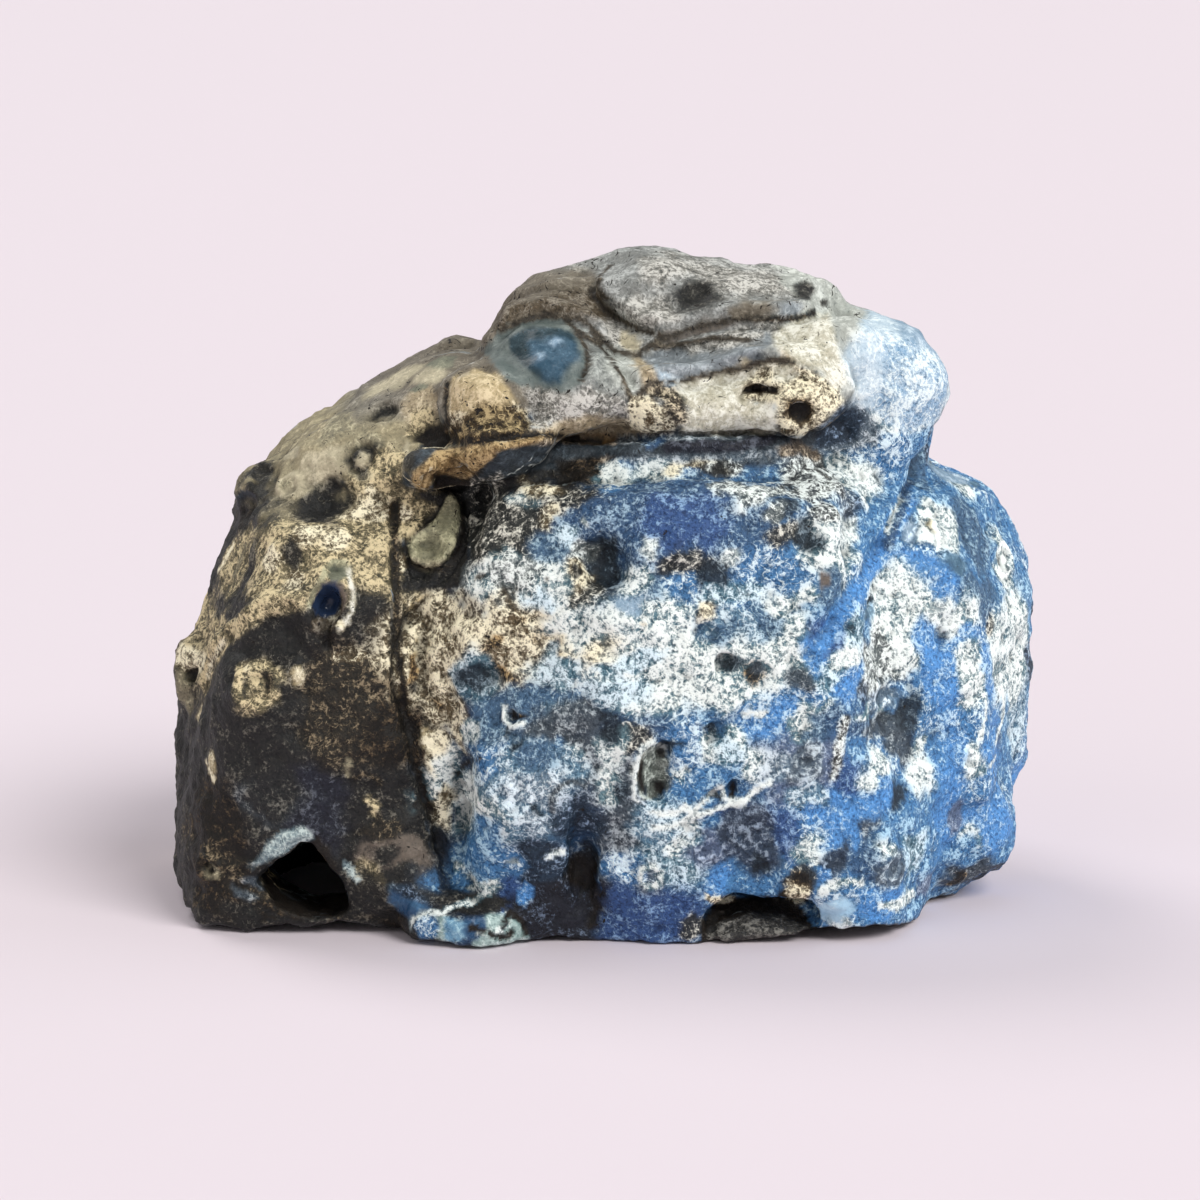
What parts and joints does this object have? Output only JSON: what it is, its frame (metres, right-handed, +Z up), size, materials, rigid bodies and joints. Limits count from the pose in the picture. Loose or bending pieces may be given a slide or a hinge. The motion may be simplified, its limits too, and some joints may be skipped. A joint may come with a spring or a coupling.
{
  "type": "agate geode",
  "caption": "Rugged agate geode with a folded cap, a crusted blue skin and a hollow seen through a window at its foot, standing on its broken underside.",
  "frame": {"origin": "on the surface it stands on, under the middle of the stone's length and depth", "axes": "+X to the right along the stone's length, +Y to the back, +Z up"},
  "size_m": [0.1012, 0.0698, 0.0741],
  "materials": {
    "chalcedony": "deep blue chalcedony skin, waxy where bare, under a matt cream and white crust with charcoal stains"
  },
  "bodies": {
    "root": {"geode": "chalcedony"}
  },
  "joints": []
}
